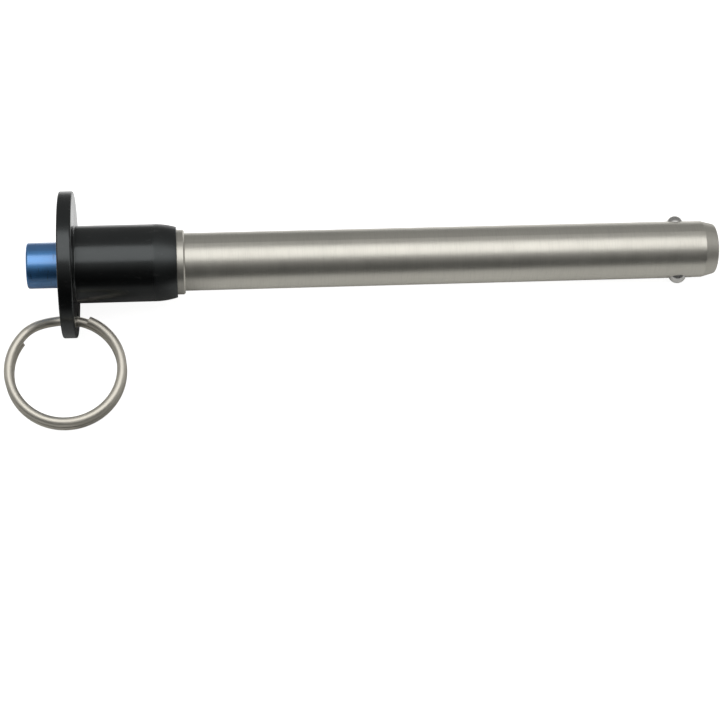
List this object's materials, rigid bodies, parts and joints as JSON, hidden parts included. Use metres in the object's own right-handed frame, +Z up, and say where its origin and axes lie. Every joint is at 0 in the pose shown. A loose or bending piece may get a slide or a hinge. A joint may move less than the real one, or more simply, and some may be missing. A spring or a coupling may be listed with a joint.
{
  "type": "ball lock pin",
  "caption": "Quick-release pin with a flanged black handle, a blue push button that frees the locking balls, and a split ring.",
  "frame": {"origin": "centre of the shoulder face where the grip length of the shank starts", "axes": "+X along the pin towards its ball end, +Z up, and the pin leans down a little towards the ball end, because it lies on its flange rim, its nose and its ring; the ring lies on the -Y side"},
  "size_m": [0.1585, 0.0496, 0.0321],
  "materials": {
    "shank_steel": "centreless ground stainless steel, satin",
    "black_anodised": "black anodised, bright turned",
    "blue_anodised": "blue anodised, bright turned",
    "spindle_steel": "ground stainless steel",
    "ball_steel": "polished stainless steel",
    "spring_steel": "drawn stainless spring wire",
    "ring_steel": "drawn stainless wire, satin"
  },
  "bodies": {
    "pin_body": {"shank": "shank_steel", "handle": "black_anodised", "return_spring": "spring_steel"},
    "plunger": {"button": "blue_anodised", "spindle": "spindle_steel"},
    "ball_front": {"locking_ball_front": "ball_steel"},
    "ball_rear": {"locking_ball_rear": "ball_steel"},
    "ring": {"split_ring": "ring_steel"}
  },
  "joints": [
    {"name": "button_press", "type": "slide", "parent": "pin_body", "child": "plunger", "axis": [0.9976, 0, -0.0696], "range_m": [0, 0.004], "stiffness_N_per_m": 2000, "springref_m": -0.005, "deforming": ["return_spring"]},
    {"name": "ball_front_retract", "type": "slide", "parent": "pin_body", "child": "ball_front", "axis": [0.0358, 0.8572, 0.5138], "range_m": [0, 0.0013]},
    {"name": "ball_rear_retract", "type": "slide", "parent": "pin_body", "child": "ball_rear", "axis": [-0.0358, -0.8572, -0.5138], "range_m": [0, 0.0013]},
    {"name": "ring_swing", "type": "hinge", "parent": "pin_body", "child": "ring", "pos_m": [-0.0258, -0.00862, -0.00699], "axis": [0.9976, 0, -0.0696], "range_deg": [-70, 150]}
  ],
  "couplings": [
    {"joint": "ball_front_retract", "follows": "button_press", "ratio": 0.32492},
    {"joint": "ball_rear_retract", "follows": "button_press", "ratio": 0.32492}
  ]
}
